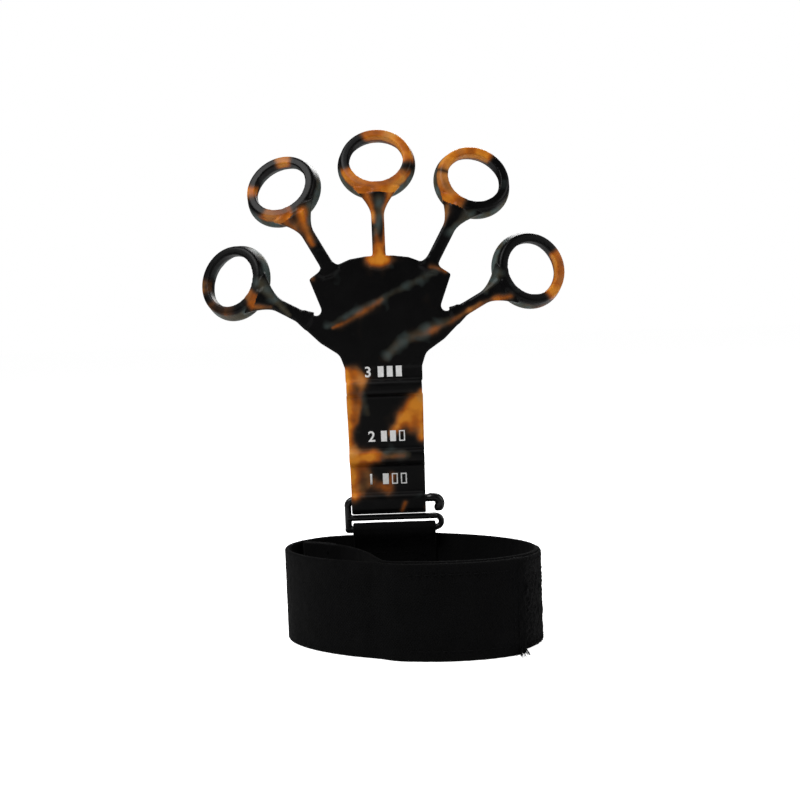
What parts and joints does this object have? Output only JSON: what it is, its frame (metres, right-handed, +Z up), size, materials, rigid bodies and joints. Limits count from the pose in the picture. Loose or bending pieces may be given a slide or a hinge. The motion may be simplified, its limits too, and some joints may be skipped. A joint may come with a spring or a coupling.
{
  "type": "finger exerciser",
  "caption": "Elastic hand-shaped web with a finger loop for each finger, hooked by a plastic buckle to a hook-and-loop wrist strap, for training the finger extensors.",
  "frame": {"origin": "middle of the outer box, on the surface that the strap's edge stands on", "axes": "+Z up along the web towards the middle finger's loop, +X across the hand towards the little finger's loop, -Y towards the front of the web"},
  "size_m": [0.1511, 0.0701, 0.2036],
  "materials": {
    "silicone": "satin",
    "silicone_orange": "satin",
    "hook_plastic": "gloss",
    "webbing": "matte",
    "pile": "matte",
    "hook_tape": "matte",
    "thread": "matte"
  },
  "bodies": {
    "wrist_strap": {"strap_webbing": "webbing", "inner_lap": "webbing", "inner_end_hem": "webbing", "pile_facing": "pile", "pile_stitches": "thread", "buckle_tab": "webbing", "tab_stitches": "thread"},
    "buckle": {"hook_buckle": "hook_plastic"},
    "hand_web": {"palm_fan": "silicone", "resistance_band": "silicone_orange"},
    "free_end": {"strap_free_end": "webbing", "hook_patch": "hook_tape", "patch_stitches": "thread", "free_end_hem": "webbing"},
    "thumb_arm": {"stem_thumb": "silicone"},
    "thumb_cuff": {"loop_thumb": "silicone_orange"},
    "index_arm": {"stem_index": "silicone"},
    "index_cuff": {"loop_index": "silicone_orange"},
    "middle_arm": {"stem_middle": "silicone"},
    "middle_cuff": {"loop_middle": "silicone_orange"},
    "ring_arm": {"stem_ring": "silicone"},
    "ring_cuff": {"loop_ring": "silicone_orange"},
    "little_arm": {"stem_little": "silicone"},
    "little_cuff": {"loop_little": "silicone_orange"}
  },
  "joints": [
    {"name": "buckle_tilt", "type": "hinge", "parent": "wrist_strap", "child": "buckle", "pos_m": [0.002, 0.017, 0.0393], "axis": [1, 0, 0], "range_deg": [-25, 25]},
    {"name": "web_swing", "type": "hinge", "parent": "buckle", "child": "hand_web", "pos_m": [0, 0.017, 0.0515], "axis": [1, 0, 0], "range_deg": [-60, 60]},
    {"name": "thumb_bend", "type": "hinge", "parent": "hand_web", "child": "thumb_arm", "pos_m": [-0.03542, 0.017, 0.12913], "axis": [-0.4848, 0, -0.8746], "range_deg": [-40, 50], "stiffness_Nm_per_rad": 0.05},
    {"name": "thumb_stretch", "type": "slide", "parent": "thumb_arm", "child": "thumb_cuff", "axis": [-0.8746, 0, 0.4848], "range_m": [0, 0.02], "stiffness_N_per_m": 300},
    {"name": "index_bend", "type": "hinge", "parent": "hand_web", "child": "index_arm", "pos_m": [-0.02279, 0.017, 0.15061], "axis": [-0.8746, 0, -0.4848], "range_deg": [-40, 50], "stiffness_Nm_per_rad": 0.05},
    {"name": "index_stretch", "type": "slide", "parent": "index_arm", "child": "index_cuff", "axis": [-0.4848, 0, 0.8746], "range_m": [0, 0.02], "stiffness_N_per_m": 300},
    {"name": "middle_bend", "type": "hinge", "parent": "hand_web", "child": "middle_arm", "pos_m": [0, 0.017, 0.1535], "axis": [-1, 0, 0], "range_deg": [-40, 50], "stiffness_Nm_per_rad": 0.05},
    {"name": "middle_stretch", "type": "slide", "parent": "middle_arm", "child": "middle_cuff", "axis": [0, 0, 1], "range_m": [0, 0.02], "stiffness_N_per_m": 300},
    {"name": "ring_bend", "type": "hinge", "parent": "hand_web", "child": "ring_arm", "pos_m": [0.02279, 0.017, 0.15061], "axis": [-0.8746, 0, 0.4848], "range_deg": [-40, 50], "stiffness_Nm_per_rad": 0.05},
    {"name": "ring_stretch", "type": "slide", "parent": "ring_arm", "child": "ring_cuff", "axis": [0.4848, 0, 0.8746], "range_m": [0, 0.02], "stiffness_N_per_m": 300},
    {"name": "little_bend", "type": "hinge", "parent": "hand_web", "child": "little_arm", "pos_m": [0.03542, 0.017, 0.12913], "axis": [-0.4848, 0, 0.8746], "range_deg": [-40, 50], "stiffness_Nm_per_rad": 0.05},
    {"name": "little_stretch", "type": "slide", "parent": "little_arm", "child": "little_cuff", "axis": [0.8746, 0, 0.4848], "range_m": [0, 0.02], "stiffness_N_per_m": 300},
    {"name": "strap_peel", "type": "hinge", "parent": "wrist_strap", "child": "free_end", "pos_m": [0.00061, -0.03181, 0.0181], "axis": [0, 0, -1], "range_deg": [0, 110]}
  ]
}
